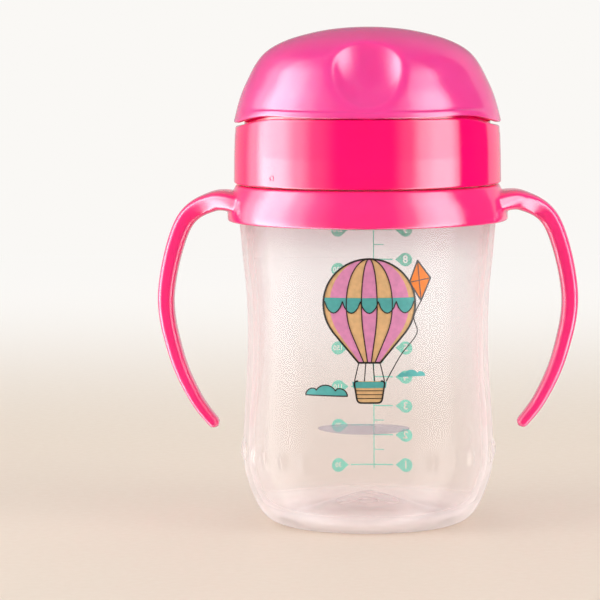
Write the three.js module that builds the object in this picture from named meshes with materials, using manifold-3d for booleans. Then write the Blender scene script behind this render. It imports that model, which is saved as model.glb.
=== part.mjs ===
// Spouted training cup with two open handles, a screw collar and a domed visor lid.
// Millimetres, +Z up. Origin: centre of the base, on the table. -Y is the front.
import * as THREE from 'three';
import { mergeVertices } from 'three/addons/utils/BufferGeometryUtils.js';
import Module from 'manifold-3d';

const wasm = await Module();
wasm.setup();

// ---- driving dimensions ----
const ROUND = 36; // flats around the large turned pieces
const SMALL_ROUND = 20; // flats around the small turned pieces
const WALL = 1.5; // moulded wall of the cup, hood and lid
const GAP = 0.35; // running gap between neighbouring pieces

const FOOT_RADIUS = 25.5; // outer edge of the ring the cup stands on
const FOOT_INNER_RADIUS = 19.5;
const PUSH_UP = 7; // height of the conical hollow under the cup
const BELLY_RADIUS = 35.4;
const BELLY_HEIGHT = 21;
const WAIST_RADIUS = 33.9;
const WAIST_HEIGHT = 54;
const CHEST_RADIUS = 36.1; // widest part under the shoulder
const SHOULDER_HEIGHT = 85;
const NECK_RADIUS = 31.2;
const NECK_BOTTOM = 88.4;
const RIM_HEIGHT = 108;

const THREAD_PITCH = 5;
const THREAD_TURNS = 1.25;
const THREAD_DEPTH = 1.4;
const THREAD_WIDTH = 2.2; // axial width at the root
const NECK_THREAD_START = 97.4; // height of the neck thread's lower end

const RING_BOTTOM = 85.4;
const RING_TOP = 95.4;
const RING_RADIUS = 39.5; // at its lower edge
const RING_TOP_RADIUS = 37.2;
const RING_BORE = 33.4;

const HANDLE_REACH = 56.8; // centre line at its furthest out
const HANDLE_STATIONS = 16;

const COLLAR_BOTTOM = 96.1;
const COLLAR_TOP = 115.1; // top edge of the band at the front
const COLLAR_RADIUS = 37.6; // at the lower edge
const COLLAR_TOP_RADIUS = 37.1;
const COLLAR_BORE = 33.1;
const SIDE_DIP = 3; // how far the band's top edge drops beside the pivots
const DECK_BOTTOM = 110.7;
const DECK_TOP = 112.4;
const SPIGOT_RADIUS = 34.6; // upstand that the lid closes around
const SPIGOT_TOP = 116.4;
const SPIGOT_WALL = 1.2;

const PIVOT = new THREE.Vector3(0, 13, 118); // the lid turns about X through this point
const PIN_RADIUS = 2;
const PIN_TIP = 31.7; // distance of each pin's end from the middle
const LUG_FACE = 29.6; // outer face of the collar's lugs
const LUG_RADIUS = 4.6;
const BOSS_FACE = 30; // inner face of the lid's bosses
const PIN_SOCKET_RADIUS = 2.3;
const HOOD_GAP = 0.6; // between the fixed hood and the lid that swings over it

const LID_TOP = 139.8;
const LID_LIP_RADIUS = 37.5;
const THUMB_PLACE = [0, -29.4, 127.2]; // middle of the thumb dish's rim, on the front of the lid
const THUMB_LEAN = 36; // degrees that the dish faces upwards
const THUMB_DEPTH = 2.6; // deepest point below THUMB_PLACE
const THUMB_FORM = [14, 14, 19.4]; // half sizes of the egg shape pressed in: across, deep, tall

const SPOUT_Y = -4; // the spout sits in front of the pivots
const SPOUT_HOLE = 13;
const SPOUT_TOP = 132;
const VENT_Y = 22; // the vent valve sits under the hood

// ---- helpers ----
const unit = (from, to, t) => THREE.MathUtils.smoothstep(t, from, to);
const degrees = THREE.MathUtils.degToRad;

function toSolid(geometry) {
  const bare = geometry.index ? geometry.toNonIndexed() : geometry.clone();
  bare.deleteAttribute('normal');
  bare.deleteAttribute('uv');
  const merged = mergeVertices(bare, 1e-4);
  return new wasm.Manifold(new wasm.Mesh({
    numProp: 3,
    vertProperties: new Float32Array(merged.attributes.position.array),
    triVerts: new Uint32Array(merged.index.array),
  }));
}

function toGeometry(solid) {
  const mesh = solid.getMesh();
  const geometry = new THREE.BufferGeometry();
  geometry.setAttribute('position', new THREE.BufferAttribute(mesh.vertProperties, 3));
  geometry.setIndex(new THREE.BufferAttribute(mesh.triVerts, 1));
  geometry.computeVertexNormals();
  return geometry;
}

// Moves every vertex of a geometry in place: place(vertex) changes the vertex it is given.
function reshape(geometry, place) {
  const position = geometry.attributes.position;
  const vertex = new THREE.Vector3();
  for (let i = 0; i < position.count; i += 1) {
    vertex.fromBufferAttribute(position, i);
    place(vertex);
    position.setXYZ(i, vertex.x, vertex.y, vertex.z);
  }
  return geometry;
}

// A turned solid about Z from [radius, height] points that go up the outside.
function turned(points, flats = ROUND) {
  const profile = points.map(([radius, height]) => new THREE.Vector2(radius, height));
  return new THREE.LatheGeometry(profile, flats).rotateX(Math.PI / 2);
}

// A closed loop of points, for a turned ring that does not reach the axis.
const ringLoop = (points) => [...points, points[0]];

function cylinder(radius, from, to, flats = SMALL_ROUND) {
  return turned([[0, from], [radius, from], [radius, to], [0, to]], flats);
}

function box(low, high) {
  const size = high.map((value, i) => value - low[i]);
  const middle = high.map((value, i) => (value + low[i]) / 2);
  return toSolid(new THREE.BoxGeometry(...size).translate(...middle));
}

// A turned solid whose axis is the lid's pivot line: heights run along X.
function aboutPivot(points, flats = SMALL_ROUND) {
  const geometry = turned(points, flats).rotateY(Math.PI / 2);
  return toSolid(geometry.translate(PIVOT.x, PIVOT.y, PIVOT.z));
}

// A helical ridge that starts at the front and climbs anticlockwise (right-handed).
// It stands out of the wall for outward = 1, and into the bore for outward = -1.
function threadRidge(wallRadius, startHeight, outward) {
  const root = -0.4 * outward;
  const crest = THREAD_DEPTH * outward;
  const half = THREAD_WIDTH / 2;
  const section = new THREE.Shape([
    new THREE.Vector2(-half, root),
    new THREE.Vector2(half, root),
    new THREE.Vector2(half - 0.5, crest),
    new THREE.Vector2(0.5 - half, crest),
  ]);
  const sweep = THREAD_TURNS * 2 * Math.PI;
  const steps = Math.round(THREAD_TURNS * ROUND / 2);
  const ridge = new THREE.ExtrudeGeometry(section, { depth: sweep, steps, bevelEnabled: false });
  return toSolid(reshape(ridge, (vertex) => {
    const angle = vertex.z;
    const runOut = unit(0, 0.35, Math.min(angle, sweep - angle));
    const radius = wallRadius + (vertex.y === crest ? crest * (0.1 + 0.9 * runOut) : vertex.y);
    const height = startHeight + vertex.x + THREAD_PITCH * angle / (2 * Math.PI);
    vertex.set(radius * Math.cos(angle), radius * Math.sin(angle), height);
  }));
}

// ---- cup ----
function cupBody() {
  const outside = [
    [0, PUSH_UP],
    [FOOT_INNER_RADIUS - 0.5, 0.9],
    [FOOT_INNER_RADIUS, 0],
    [FOOT_RADIUS, 0],
    [28.6, 1.6],
    [31, 4.4],
    [33.4, 9.6],
    [35, 15],
    [BELLY_RADIUS, BELLY_HEIGHT],
    [35, 30],
    [34.3, 40],
    [WAIST_RADIUS, WAIST_HEIGHT],
    [34.3, 66],
    [35.2, 74],
    [CHEST_RADIUS, SHOULDER_HEIGHT],
    [35.4, 86.6],
    [32.6, 87.8],
    [NECK_RADIUS, NECK_BOTTOM],
    [NECK_RADIUS, RIM_HEIGHT],
  ];
  const inside = [
    [NECK_RADIUS - WALL, RIM_HEIGHT],
    [NECK_RADIUS - WALL, NECK_BOTTOM - 1.4],
    [CHEST_RADIUS - WALL - 0.6, SHOULDER_HEIGHT - 1.2],
    [35.2 - WALL, 74],
    [34.3 - WALL, 66],
    [WAIST_RADIUS - WALL, WAIST_HEIGHT],
    [34.3 - WALL, 40],
    [BELLY_RADIUS - WALL, BELLY_HEIGHT],
    [33.4 - WALL, 10.4],
    [29.6, 5.4],
    [25.4, 2],
    [FOOT_INNER_RADIUS, 2],
    [0, PUSH_UP + 1.8],
  ];
  const shell = toSolid(turned([...outside, ...inside]));
  return toGeometry(shell.add(threadRidge(NECK_RADIUS, NECK_THREAD_START, 1)));
}

// ---- handle ring ----
// One handle on the +X side, as a tapering strap that runs from the ring to a free tip.
function handle() {
  const centreLine = new THREE.CatmullRomCurve3([
    new THREE.Vector3(35.6, 0, 90.6),
    new THREE.Vector3(43.6, 0, 90.8),
    new THREE.Vector3(52.6, 0, 83.4),
    new THREE.Vector3(HANDLE_REACH, 0, 64),
    new THREE.Vector3(54.1, 0, 47.4),
    new THREE.Vector3(48.5, 0, 34.6),
    new THREE.Vector3(42.2, 0, 26.4),
  ]);
  const section = new THREE.Shape();
  section.absellipse(0, 0, 1, 1, 0, 2 * Math.PI);
  const strap = new THREE.ExtrudeGeometry(section, {
    depth: 1, steps: HANDLE_STATIONS, bevelEnabled: false, curveSegments: 10,
  });
  return toSolid(reshape(strap, (vertex) => {
    const along = vertex.z;
    const centre = centreLine.getPointAt(along);
    const tangent = centreLine.getTangentAt(along);
    const tip = Math.sqrt(1 - 0.9 * unit(0.94, 1, along));
    const thickness = (5.5 - 2.5 * along ** 1.5) * tip;
    const width = (10 + 16 * (1 - unit(0, 0.28, along)) - 1.6 * along) * tip;
    const square = 1 + 0.28 * Math.abs(vertex.x * vertex.y) * 2;
    const across = vertex.x * square * thickness / 2;
    vertex.set(
      centre.x + tangent.z * across,
      vertex.y * square * width / 2,
      centre.z - tangent.x * across,
    );
  }));
}

function handleRing() {
  const section = ringLoop([
    [36.6, RING_BOTTOM],
    [RING_RADIUS - 0.3, RING_BOTTOM],
    [RING_RADIUS, RING_BOTTOM + 0.6],
    [39.2, 89],
    [38.4, 92.2],
    [RING_TOP_RADIUS, RING_TOP],
    [RING_BORE, RING_TOP],
    [RING_BORE, 88.8],
    [35.6, 87.8],
    [36.6, 86.8],
  ]);
  const bore = toSolid(cylinder(RING_BORE + 0.4, RING_BOTTOM, RING_TOP, ROUND));
  const right = handle().subtract(bore);
  const both = right.add(right.rotate([0, 0, 180]));
  return toGeometry(toSolid(turned(section)).add(both));
}

// ---- screw collar ----
// Azimuth from the front, 0 to pi on either side.
const fromFront = (x, y) => Math.abs(Math.atan2(x, -y));

// How far the band's top edge is lowered at an azimuth.
function dipAt(azimuth) {
  const falls = unit(degrees(40), degrees(86), azimuth);
  const rises = unit(degrees(122), degrees(148), azimuth);
  return SIDE_DIP * falls * (1 - rises);
}

function collarBand() {
  const edge = COLLAR_TOP - 0.5;
  const section = ringLoop([
    [COLLAR_BORE, COLLAR_BOTTOM],
    [COLLAR_RADIUS - 0.4, COLLAR_BOTTOM],
    [COLLAR_RADIUS, COLLAR_BOTTOM + 0.5],
    [COLLAR_RADIUS - 0.3, 108],
    [COLLAR_TOP_RADIUS, edge],
    [COLLAR_TOP_RADIUS - 0.5, COLLAR_TOP],
    [SPIGOT_RADIUS, COLLAR_TOP],
    [SPIGOT_RADIUS, SPIGOT_TOP],
    [SPIGOT_RADIUS - SPIGOT_WALL, SPIGOT_TOP],
    [SPIGOT_RADIUS - SPIGOT_WALL, DECK_TOP],
    [20, DECK_TOP],
    [20, DECK_BOTTOM],
    [COLLAR_BORE, DECK_BOTTOM],
  ]);
  return toSolid(reshape(turned(section), (vertex) => {
    const onEdge = vertex.z > 109 && vertex.z < COLLAR_TOP + 0.1;
    const outsideSpigot = Math.hypot(vertex.x, vertex.y) > SPIGOT_RADIUS - 0.1;
    if (onEdge && outsideSpigot) vertex.z -= dipAt(fromFront(vertex.x, vertex.y));
  }));
}

function deckPlate() {
  const plate = toSolid(cylinder(21, DECK_BOTTOM, DECK_TOP));
  const spoutHole = toSolid(cylinder(SPOUT_HOLE, DECK_BOTTOM - 1, DECK_TOP + 1));
  return plate.subtract(spoutHole.translate([0, SPOUT_Y, 0]));
}

// The lid's inside height above the pivot line sets how big the hood can be at each x.
function hoodSection(offset) {
  const points = [];
  const end = LUG_FACE - offset;
  for (let i = 0; i <= 14; i += 1) {
    const x = end * Math.cos(Math.PI * i / 14);
    const reach = Math.hypot(Math.abs(x) + offset, PIVOT.y);
    const roundedEnd = 1.6 * (x / end) ** 12;
    points.push([lidHeight(reach) - PIVOT.z - HOOD_GAP - roundedEnd - offset, -x]);
  }
  return [[0, points[0][1]], ...points, [0, points[14][1]]];
}

// A spindle about the pivot line, with straight sides below it. Offset shrinks it to its inside.
function hoodForm(offset) {
  const section = hoodSection(offset);
  const floor = DECK_TOP - 0.6 + offset;
  const outline = section.map(([reach, x]) => new THREE.Vector2(x, PIVOT.y + (reach || -offset)));
  const skirt = new THREE.ExtrudeGeometry(new THREE.Shape(outline), {
    depth: PIVOT.z - floor, bevelEnabled: false,
  });
  return aboutPivot(section, ROUND).add(toSolid(skirt.translate(0, 0, floor)));
}

function rearHood() {
  const rear = box([-40, PIVOT.y, DECK_TOP - 0.6], [40, 60, 160]);
  const withinSpigot = toSolid(cylinder(SPIGOT_RADIUS - 0.2, 100, 160, ROUND));
  return hoodForm(0).intersect(rear).intersect(withinSpigot).subtract(hoodForm(WALL));
}

// A lug at each end of the pivot line carries a stub pin for the lid.
function lugWithPin(side) {
  const innerFace = LUG_FACE - 3;
  const disc = [[0, innerFace], [LUG_RADIUS, innerFace], [LUG_RADIUS, LUG_FACE], [0, LUG_FACE]];
  const pin = [[0, LUG_FACE - 1], [PIN_RADIUS, LUG_FACE - 1], [PIN_RADIUS, PIN_TIP], [0, PIN_TIP]];
  const post = box(
    [innerFace, PIVOT.y - LUG_RADIUS, DECK_TOP - 0.6],
    [LUG_FACE, PIVOT.y + LUG_RADIUS, PIVOT.z],
  );
  const lug = aboutPivot(disc).add(aboutPivot(pin)).add(post);
  return side > 0 ? lug : lug.mirror([1, 0, 0]);
}

function screwCollar() {
  const reach = LUG_RADIUS + 0.6;
  const sweep = [[0, LUG_FACE], [reach, LUG_FACE], [reach, 45], [0, 45]];
  const bossRoom = aboutPivot(sweep);
  const ventHole = toSolid(cylinder(1.6, DECK_BOTTOM - 1, DECK_TOP + 1)).translate([0, VENT_Y, 0]);
  const femaleStart = NECK_THREAD_START + THREAD_PITCH / 2;
  return toGeometry(collarBand()
    .subtract(bossRoom)
    .subtract(bossRoom.mirror([1, 0, 0]))
    .add(deckPlate())
    .add(rearHood())
    .add(lugWithPin(1))
    .add(lugWithPin(-1))
    .add(threadRidge(COLLAR_BORE, femaleStart, -1))
    .subtract(ventHole));
}

// ---- visor lid ----
// Outside of the dome as [radius, height], from the lip to the crown.
function domeSection() {
  const points = [
    [LID_LIP_RADIUS, 113.6],
    [36.2, 118.6],
    [34.9, 122.4],
    [33.1, 126],
    [31.2, 129.6],
    [28.9, 132.6],
    [25.7, 134.6],
  ];
  const crownRadius = 66; // the top is a shallow spherical cap
  for (let i = 5; i >= 0; i -= 1) {
    const radius = 25.7 * i / 6;
    points.push([radius, LID_TOP - crownRadius + Math.sqrt(crownRadius ** 2 - radius ** 2)]);
  }
  return points;
}

// Height of the dome's inside at a radius.
function lidHeight(radius) {
  const inside = domeInside();
  const above = inside.findIndex(([r]) => r <= radius);
  const [r0, z0] = inside[above - 1];
  const [r1, z1] = inside[above];
  return z0 + (z1 - z0) * (radius - r0) / (r1 - r0);
}

function domeInside() {
  const outside = domeSection();
  return outside.map(([radius, height], i) => {
    const before = outside[Math.max(i - 1, 0)];
    const after = outside[Math.min(i + 1, outside.length - 1)];
    const run = Math.hypot(after[0] - before[0], after[1] - before[1]);
    if (i === 0) return [radius - WALL, height];
    if (i === outside.length - 1) return [0, height - WALL];
    return [
      radius - WALL * (after[1] - before[1]) / run,
      height + WALL * (after[0] - before[0]) / run,
    ];
  });
}

// The lip follows the band's top edge, with a wider gap towards the pivots.
function lipHeight(azimuth) {
  const gap = 0.4 + 1.1 * unit(degrees(22), degrees(62), azimuth);
  return COLLAR_TOP + gap - dipAt(azimuth);
}

// The egg shape whose side is pressed into the dome. Offset grows it to the dish's inside.
function thumbForm(offset) {
  const lean = degrees(THUMB_LEAN);
  const [across, deep, tall] = THUMB_FORM;
  const away = deep - THUMB_DEPTH;
  const [x, y, z] = THUMB_PLACE;
  const egg = new THREE.SphereGeometry(1, 40, 28)
    .scale(across + offset, deep + offset, tall + offset)
    .rotateX(-lean)
    .translate(x, y - away * Math.cos(lean), z + away * Math.sin(lean));
  return toSolid(egg);
}

function visorLid() {
  const outside = domeSection();
  const inside = domeInside();
  const lipLine = outside[0][1];
  const followBand = (vertex) => {
    if (Math.abs(vertex.z - lipLine) < 0.01) vertex.z = lipHeight(fromFront(vertex.x, vertex.y));
  };
  const bossFloor = PIVOT.z - LUG_RADIUS;
  const dome = toSolid(reshape(turned([[0, lipLine], ...outside]), (vertex) => {
    if (Math.hypot(vertex.x, vertex.y) > 1) followBand(vertex);
  }));
  const cavity = toSolid(turned([[0, lipLine - 5], [inside[0][0] + 0.3, lipLine - 5], ...inside]));

  const front = box([-60, -60, 90], [60, PIVOT.y, 160]);
  const shell = dome
    .subtract(thumbForm(0))
    .subtract(cavity.subtract(thumbForm(WALL)))
    .intersect(front);
  const disc = [[0, BOSS_FACE], [LUG_RADIUS, BOSS_FACE], [LUG_RADIUS, 45], [0, 45]];
  const socket = [[0, 20], [PIN_SOCKET_RADIUS, 20], [PIN_SOCKET_RADIUS, PIN_TIP + 0.3],
    [0, PIN_TIP + 0.3]];
  const tall = toSolid(turned([[0, bossFloor - 1], [LID_LIP_RADIUS, bossFloor - 1],
    ...outside.slice(1)]));
  const boss = aboutPivot(disc).intersect(tall);
  const bore = aboutPivot(socket);
  return toGeometry(shell
    .add(boss)
    .add(boss.mirror([1, 0, 0]))
    .subtract(bore)
    .subtract(bore.mirror([1, 0, 0])));
}

// ---- soft pieces under the lid ----
// A round base grips the deck; above it the spout narrows to a flat oval mouth.
function softSpout() {
  const bottom = 106.6;
  const section = ringLoop([
    [11.9, bottom],
    [14.4, bottom],
    [15.6, DECK_BOTTOM - GAP - 1.4],
    [15.6, DECK_BOTTOM - GAP],
    [SPOUT_HOLE - GAP, DECK_BOTTOM - GAP],
    [SPOUT_HOLE - GAP, DECK_TOP + GAP],
    [14.8, DECK_TOP + GAP],
    [14.8, DECK_TOP + GAP + 0.8],
    [13.4, 115],
    [11.6, 118.6],
    [10.2, 124],
    [9.6, 129],
    [8.8, 131.3],
    [7.2, SPOUT_TOP],
    [1.3, SPOUT_TOP],
    [1.3, SPOUT_TOP - 1.6],
    [6.4, SPOUT_TOP - 1.6],
    [8, 129],
    [8.6, 124],
    [9.9, 118.6],
    [11, 115.4],
    [11, 110.4],
    [11.9, 110.4],
  ]);
  const flatten = (vertex) => {
    vertex.y *= 1 - 0.42 * unit(114, 130, vertex.z);
    vertex.y += SPOUT_Y;
  };
  return toGeometry(toSolid(reshape(turned(section, 24), flatten)));
}

// A shallow cap with a domed slit face, pushed into the underside of the spout.
function spoutValve() {
  const y = SPOUT_Y;
  const cap = toSolid(turned([
    [0, 106.8], [8, 106.8], [11.5, 107.2], [11.5, 110], [9.6, 110], [9.2, 108.4],
    [5, 109.6], [0, 110.2],
  ], SMALL_ROUND)).translate([0, y, 0]);
  const slit = box([-4, y - 0.15, 100], [4, y + 0.15, 120]);
  const crossSlit = box([-0.15, y - 4, 100], [0.15, y + 4, 120]);
  return toGeometry(cap.subtract(slit).subtract(crossSlit));
}

// A small mushroom of silicone, its stem through the deck.
function ventValve() {
  const head = turned([
    [0, 107.4], [0.9, 107.8], [2.2, DECK_BOTTOM - GAP - 1.2], [2.2, DECK_BOTTOM - GAP],
    [1.25, DECK_BOTTOM - GAP], [1.25, DECK_TOP + GAP], [3.4, DECK_TOP + GAP],
    [3.2, DECK_TOP + GAP + 0.8], [0, DECK_TOP + GAP + 1.3],
  ], SMALL_ROUND);
  return toGeometry(toSolid(head).translate([0, VENT_Y, 0]));
}

function neckSeal() {
  const top = DECK_BOTTOM - GAP;
  const bottom = RIM_HEIGHT + GAP;
  return toGeometry(toSolid(turned(ringLoop([
    [28.6, bottom], [32.6, bottom], [32.6, top], [28.6, top],
  ]))));
}

// ---- assembly ----
const plastic = (color, roughness, opacity = 1) => new THREE.MeshStandardMaterial({
  color, roughness, metalness: 0, opacity, transparent: opacity < 1,
});

const clearCup = plastic(0xf1e7e2, 0.22, 0.45);
const pinkHandle = plastic(0xfb2f78, 0.25);
const magentaBand = plastic(0xf4046c, 0.12);
const pinkLid = plastic(0xfd4b9c, 0.2, 0.9);
const silicone = plastic(0xf2eeea, 0.55);

const pieces = [
  ['cup_body', cupBody, clearCup],
  ['handle_ring', handleRing, pinkHandle],
  ['screw_collar', screwCollar, magentaBand],
  ['visor_lid', visorLid, pinkLid],
  ['soft_spout', softSpout, silicone],
  ['spout_valve', spoutValve, silicone],
  ['vent_valve', ventValve, silicone],
  ['neck_seal', neckSeal, silicone],
];

const sippyCup = new THREE.Group();
for (const [name, build, material] of pieces) {
  const mesh = new THREE.Mesh(build(), material.clone());
  mesh.name = name;
  sippyCup.add(mesh);
}

export default sippyCup;
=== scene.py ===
"""Looks for a two-handled sippy cup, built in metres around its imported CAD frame."""
import math

import bmesh
import bpy
from mathutils import Matrix, Vector


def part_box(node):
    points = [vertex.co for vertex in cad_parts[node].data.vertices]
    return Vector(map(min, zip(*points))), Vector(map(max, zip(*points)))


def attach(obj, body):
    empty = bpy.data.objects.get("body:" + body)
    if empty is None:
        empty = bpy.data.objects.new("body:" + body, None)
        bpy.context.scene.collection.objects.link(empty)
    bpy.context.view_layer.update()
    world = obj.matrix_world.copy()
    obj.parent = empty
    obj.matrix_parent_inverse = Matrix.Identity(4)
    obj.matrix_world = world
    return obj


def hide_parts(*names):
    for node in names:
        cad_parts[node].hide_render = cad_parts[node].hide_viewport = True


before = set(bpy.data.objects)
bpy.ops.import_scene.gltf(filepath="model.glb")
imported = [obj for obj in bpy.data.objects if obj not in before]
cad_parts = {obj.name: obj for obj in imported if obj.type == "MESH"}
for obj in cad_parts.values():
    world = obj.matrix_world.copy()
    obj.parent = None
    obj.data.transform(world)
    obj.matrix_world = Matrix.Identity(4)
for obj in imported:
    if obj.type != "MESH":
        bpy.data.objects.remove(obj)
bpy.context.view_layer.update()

MM = 0.001
ROUND = 240  # quads around the large turned pieces
FINE = 288  # and around those with threads, grips or a wavy edge


# ---- places and sizes, from the frame ----
def mm_box(node):
    """Lowest and highest corner of a CAD node in millimetres."""
    low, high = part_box(node)
    return low / MM, high / MM


CUP_HIGH = mm_box("cup_body")[1]
RING_LOW, RING_HIGH = mm_box("handle_ring")
COLLAR_LOW, COLLAR_HIGH = mm_box("screw_collar")
LID_HIGH = mm_box("visor_lid")[1]
SPOUT_LOW, SPOUT_HIGH = mm_box("soft_spout")

CHEST = CUP_HIGH.x  # the cup's widest radius, just under the handle ring
RIM = CUP_HIGH.z
WALL = 1.5
NECK = 31.2
THREAD_PITCH = 5.0
THREAD_TURNS = 1.25
THREAD_DEPTH = 1.4
THREAD_START = RIM - 10.6

RING_BOTTOM = RING_HIGH.z - 10.0
RING_TOP = RING_HIGH.z
RING_RADIUS = RING_HIGH.y
REACH = RING_HIGH.x  # outermost point of a handle
HANDLE_TIP = RING_LOW.z

BAND_BOTTOM = COLLAR_LOW.z
BAND_TOP = BAND_BOTTOM + 19.0
BAND_RADIUS = COLLAR_HIGH.x
BAND_DRAFT = 0.5  # the band is this much narrower at its top
BORE = 33.1
DECK_BOTTOM = BAND_BOTTOM + 14.6
DECK_TOP = DECK_BOTTOM + 1.7
SPIGOT = 34.6
SPIGOT_TOP = BAND_TOP + 1.3
SIDE_DIP = 3.0

LID_TOP = LID_HIGH.z
LID_RADIUS = LID_HIGH.x
LID_WALL = 1.5
PIVOT_Y = 13.0
PIVOT_Z = 118.0
HUB_RADIUS = 4.6
HUB_FACE = 30.0
LUG_FACE = 29.6
BEYOND = 45.0  # along the pivot line, past the outside of everything

SPOUT_Y = (SPOUT_LOW.y + SPOUT_HIGH.y) / 2


# ---- plain curve helpers ----
def smoothstep(low, high, value):
    share = min(max((value - low) / (high - low), 0.0), 1.0)
    return share * share * (3 - 2 * share)


def through(points, steps=10):
    """A smooth curve through points, as steps short lines for each gap."""
    ends = [points[0]] + list(points) + [points[-1]]
    curve = []
    for before, start, end, after in zip(ends, ends[1:], ends[2:], ends[3:]):
        for step in range(steps):
            t = step / steps
            curve.append(tuple(
                0.5 * (2 * b + (c - a) * t + (2 * a - 5 * b + 4 * c - d) * t ** 2
                       + (3 * b - a - 3 * c + d) * t ** 3)
                for a, b, c, d in zip(before, start, end, after)))
    return curve + [tuple(points[-1])]


def rounded(points, radius, steps=5):
    """A polyline whose inner corners are rounded by about the given radius."""
    path = [tuple(points[0])]
    for before, corner, after in zip(points, points[1:], points[2:]):
        corner = Vector(corner)
        back = Vector(before) - corner
        ahead = Vector(after) - corner
        start = corner + back.normalized() * min(radius, back.length / 2)
        end = corner + ahead.normalized() * min(radius, ahead.length / 2)
        for step in range(steps + 1):
            t = step / steps
            point = start * (1 - t) ** 2 + corner * 2 * t * (1 - t) + end * t ** 2
            path.append(tuple(point))
    return path + [tuple(points[-1])]


def evenly(points, gap):
    """The same polyline with extra points, so that no step is longer than gap."""
    path = [tuple(points[0])]
    for start, end in zip(points, points[1:]):
        length = math.dist(start, end)
        if length < 1e-6:
            continue
        count = max(1, math.ceil(length / gap))
        for step in range(1, count + 1):
            path.append(tuple(a + (b - a) * step / count for a, b in zip(start, end)))
    return path


def without_repeats(points):
    clean = [points[0]]
    for point in points[1:]:
        if math.dist(point, clean[-1]) > 0.02:
            clean.append(point)
    return clean


def radius_at(profile, height):
    """Radius of an upward profile at a height."""
    for (r0, z0), (r1, z1) in zip(profile, profile[1:]):
        if z0 <= height <= z1:
            return r0 + (r1 - r0) * (height - z0) / max(z1 - z0, 1e-9)
    return profile[-1][0]


def from_front(point):
    """Azimuth from the front, 0 to pi on either side."""
    return abs(math.atan2(point.x, -point.y))


# ---- mesh helpers; bm is a bmesh throughout ----
def in_scene(name, data):
    """A new object in the scene, of a mesh, curve, lamp or camera."""
    thing = bpy.data.objects.new(name, data)
    bpy.context.scene.collection.objects.link(thing)
    return thing


def new_object(name, bm):
    mesh = bpy.data.meshes.new(name)
    bm.to_mesh(mesh)
    bm.free()
    return in_scene(name, mesh)


def finish_mesh(bm, sharp_angle=38):
    """Outward faces, smooth shading, and hard edges where the surface really turns."""
    bmesh.ops.remove_doubles(bm, verts=bm.verts, dist=2e-7)
    bmesh.ops.recalc_face_normals(bm, faces=bm.faces)
    for face in bm.faces:
        face.smooth = True
    for edge in bm.edges:
        if len(edge.link_faces) == 2:
            edge.smooth = edge.calc_face_angle(0) < math.radians(sharp_angle)
    return bm


def bridge(bm, rings):
    """Faces between closed rings of vertices, with the first and last ring capped."""
    for lower, upper in zip(rings, rings[1:]):
        for step in range(len(lower)):
            after = (step + 1) % len(lower)
            bm.faces.new([lower[step], lower[after], upper[after], upper[step]])
    bm.faces.new(rings[0])
    bm.faces.new(rings[-1])


def turned(name, profile, segments=ROUND, place=None, closed=False):
    """A turned solid about Z. Profile is [radius, height] in mm; place may move each vertex."""
    bm = bmesh.new()
    rings = []
    for radius, height in profile:
        count = 1 if radius < 1e-6 else segments
        ring = []
        for index in range(count):
            angle = 2 * math.pi * index / segments - math.pi / 2
            point = Vector((radius * math.cos(angle), radius * math.sin(angle), height))
            if place:
                point = place(point)
            ring.append(bm.verts.new(point * MM))
        rings.append(ring)
    pairs = list(zip(rings, rings[1:]))
    if closed:
        pairs.append((rings[-1], rings[0]))
    for lower, upper in pairs:
        for index in range(segments):
            after = (index + 1) % segments
            corners = [lower[index % len(lower)], lower[after % len(lower)],
                       upper[after % len(upper)], upper[index % len(upper)]]
            unique = list(dict.fromkeys(corners))
            if len(unique) > 2:
                bm.faces.new(unique)
    return new_object(name, finish_mesh(bm))


def evaluated_mesh(piece):
    """A new mesh of an object as its modifiers or its curve make it."""
    graph = bpy.context.evaluated_depsgraph_get()
    return bpy.data.meshes.new_from_object(piece.evaluated_get(graph))


def apply_modifiers(piece):
    mesh = evaluated_mesh(piece)
    piece.modifiers.clear()
    piece.data = mesh


def combine(piece, tool, operation):
    """Joins, cuts or intersects piece with tool, which is used up."""
    change = piece.modifiers.new("combine", "BOOLEAN")
    change.operation = operation
    change.object = tool
    change.solver = "MANIFOLD"
    apply_modifiers(piece)
    bpy.data.objects.remove(tool)
    bm = bmesh.new()
    bm.from_mesh(piece.data)
    finish_mesh(bm)
    bm.to_mesh(piece.data)
    bm.free()
    return piece


def split_at(bm, place, normal, near, clear_outer=False):
    """Cuts faces along a plane; points closer to it than near snap to it."""
    whole = bm.verts[:] + bm.edges[:] + bm.faces[:]
    bmesh.ops.bisect_plane(bm, geom=whole, dist=near, plane_co=place, plane_no=normal,
                           clear_outer=clear_outer)


def along_pivot(name, profile, side, segments=96):
    """A turned solid about the lid's pivot line. Profile is [radius, x] in mm, x times side."""
    def place(point):
        return Vector((point.z * side, PIVOT_Y + point.x, PIVOT_Z + point.y))
    return turned(name, profile, segments, place)


def block(name, low, high):
    bm = bmesh.new()
    size = Vector(high) - Vector(low)
    middle = (Vector(high) + Vector(low)) / 2
    turn = Matrix.Translation(middle * MM) @ Matrix.Diagonal((*(size * MM), 1))
    bmesh.ops.create_cube(bm, size=1, matrix=turn)
    return new_object(name, finish_mesh(bm))


# ---- materials ----
def srgb(red, green, blue):
    """An sRGB colour of 0 to 255 as a linear shader colour."""
    def linear(value):
        value /= 255
        return value / 12.92 if value < 0.04045 else ((value + 0.055) / 1.055) ** 2.4
    return (linear(red), linear(green), linear(blue), 1)


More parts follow.
